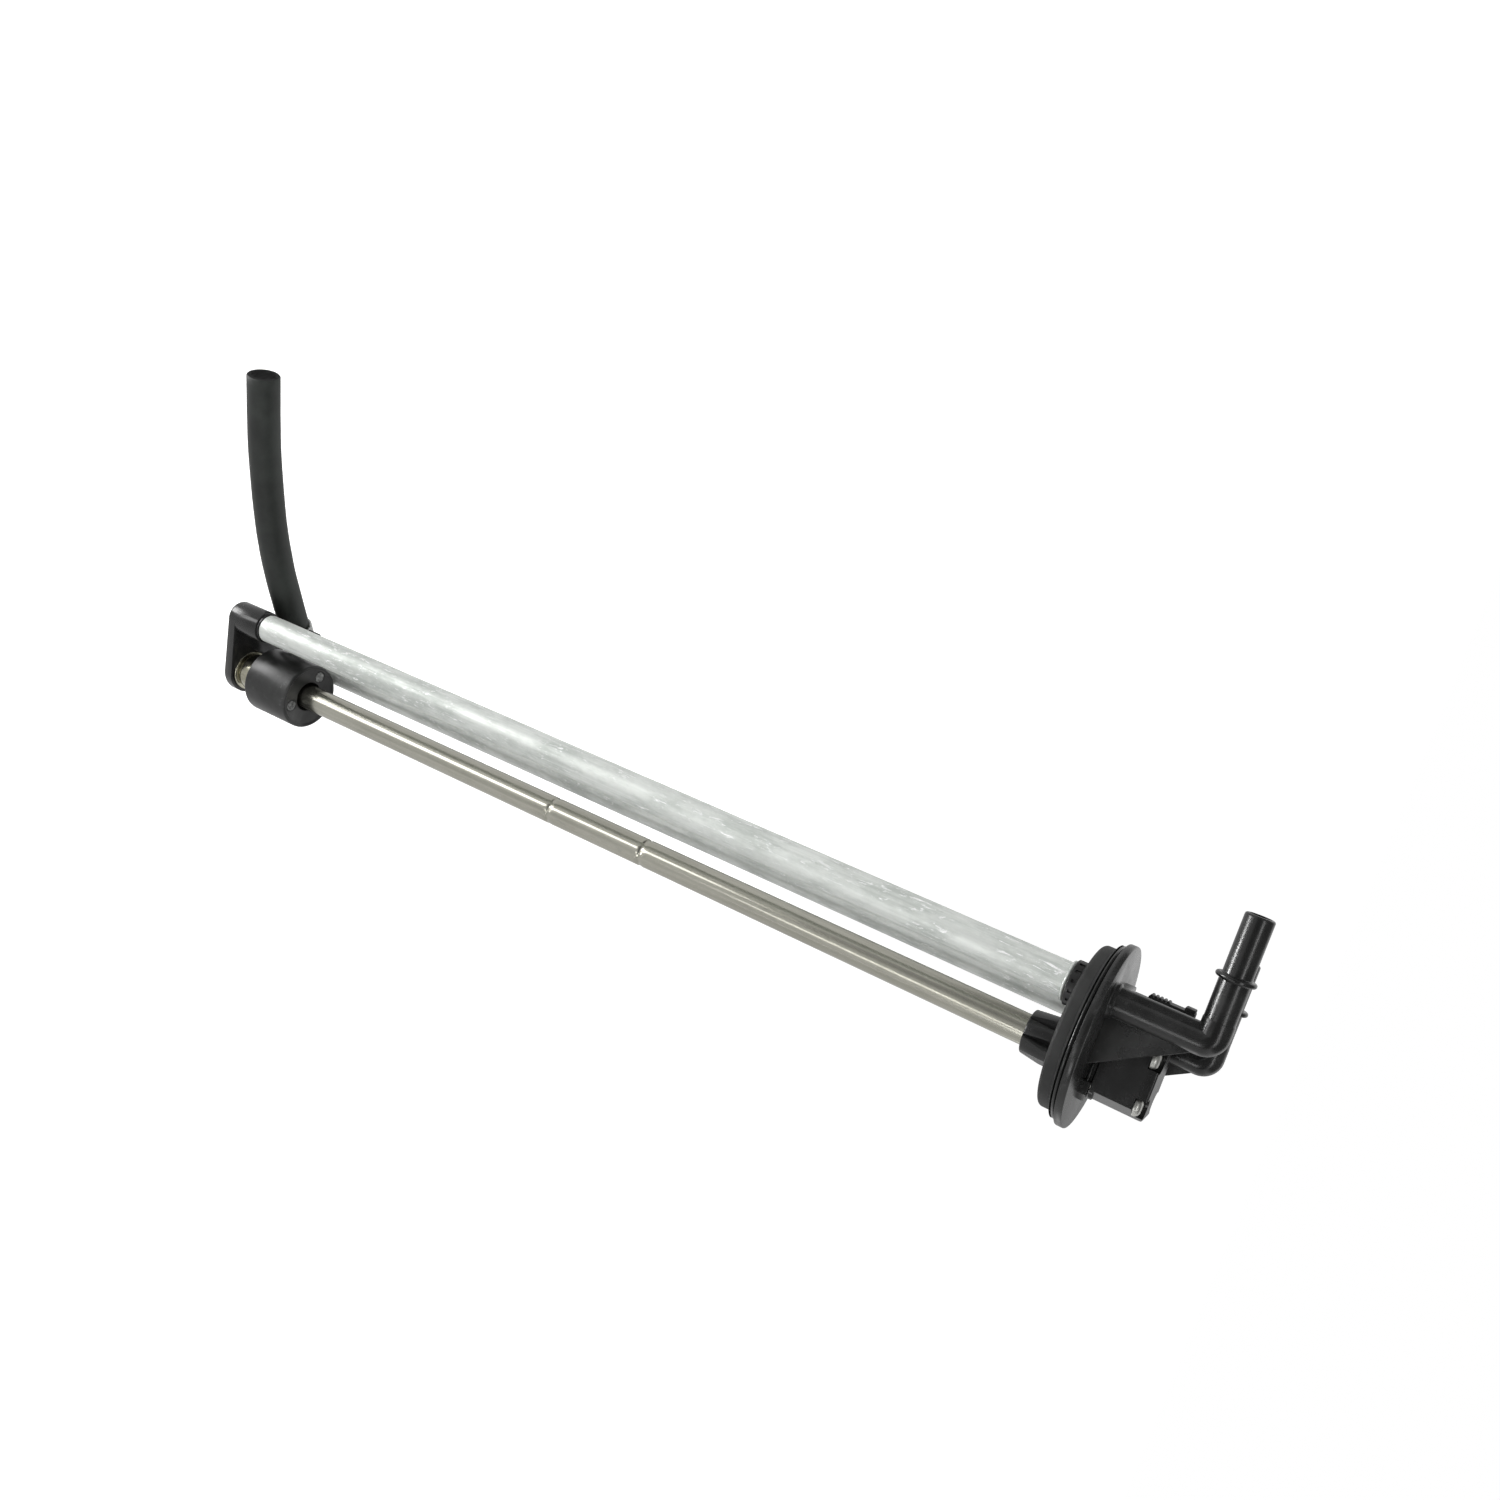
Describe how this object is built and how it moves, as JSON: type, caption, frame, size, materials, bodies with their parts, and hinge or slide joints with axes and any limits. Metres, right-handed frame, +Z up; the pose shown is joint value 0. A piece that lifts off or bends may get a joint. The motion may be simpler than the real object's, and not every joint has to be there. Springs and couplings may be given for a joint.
{
  "type": "fuel level sender",
  "caption": "Dip-tube fuel level sender with a round black head, angled quick-connect pipes, a steel guide tube with a ring float, aluminium tubes and a bent rubber return hose",
  "frame": {"origin": "Centre of the underside of the head's round plate, in the middle of the tank opening", "axes": "+Z points up out of the tank and the tubes hang along -Z. +X is the way both pipe nipples point. +Y is the side of the suction tube."},
  "size_m": [0.1659, 0.1056, 0.495],
  "materials": {
    "black_plastic": "satin moulded black",
    "glossy_plastic": "glossy moulded black",
    "float_plastic": "matte foamed black",
    "potting": "rough grey filler",
    "seal_rubber": "smooth black rubber",
    "hose_rubber": "matte black rubber",
    "steel_tube": "drawn stainless steel",
    "steel_ring": "polished turned steel",
    "screw_steel": "bright zinc plated",
    "aluminium_tube": "drawn aluminium, lightly scratched",
    "magnet": "plain grey magnet",
    "pin_metal": "tinned contact metal",
    "board_green": "green board lacquer"
  },
  "bodies": {
    "sender": {"bottom_bracket": "glossy_plastic", "circuit_board": "board_green", "connector_pin_1": "pin_metal", "connector_pin_2": "pin_metal", "connector_pin_3": "pin_metal", "connector_shell": "black_plastic", "cover_gasket": "seal_rubber", "cover_screw_1": "screw_steel", "cover_screw_2": "screw_steel", "cover_screw_3": "screw_steel", "cover_screw_4": "screw_steel", "flange_gasket": "seal_rubber", "guide_tube": "steel_tube", "guide_tube_collet": "black_plastic", "guide_tube_plug": "steel_tube", "guide_tube_seal": "seal_rubber", "head_flange": "black_plastic", "hose_clamp": "screw_steel", "reed_strip": "board_green", "return_collar": "black_plastic", "return_hose": "hose_rubber", "return_hose_sleeve": "hose_rubber", "return_tube": "aluminium_tube", "return_tube_seal": "seal_rubber", "seal_ring": "seal_rubber", "sensor_cover": "black_plastic", "stop_ring": "steel_ring", "suction_collar": "black_plastic", "suction_end_seal": "seal_rubber", "suction_tube": "aluminium_tube", "suction_tube_seal": "seal_rubber"},
    "float": {"float": "float_plastic", "float_magnet_1": "magnet", "float_magnet_2": "magnet", "float_potting_1": "potting", "float_potting_2": "potting"}
  },
  "joints": [
    {"name": "float_slide", "type": "slide", "parent": "sender", "child": "float", "axis": [0, 0, 1], "range_m": [0, 0.3792]}
  ]
}
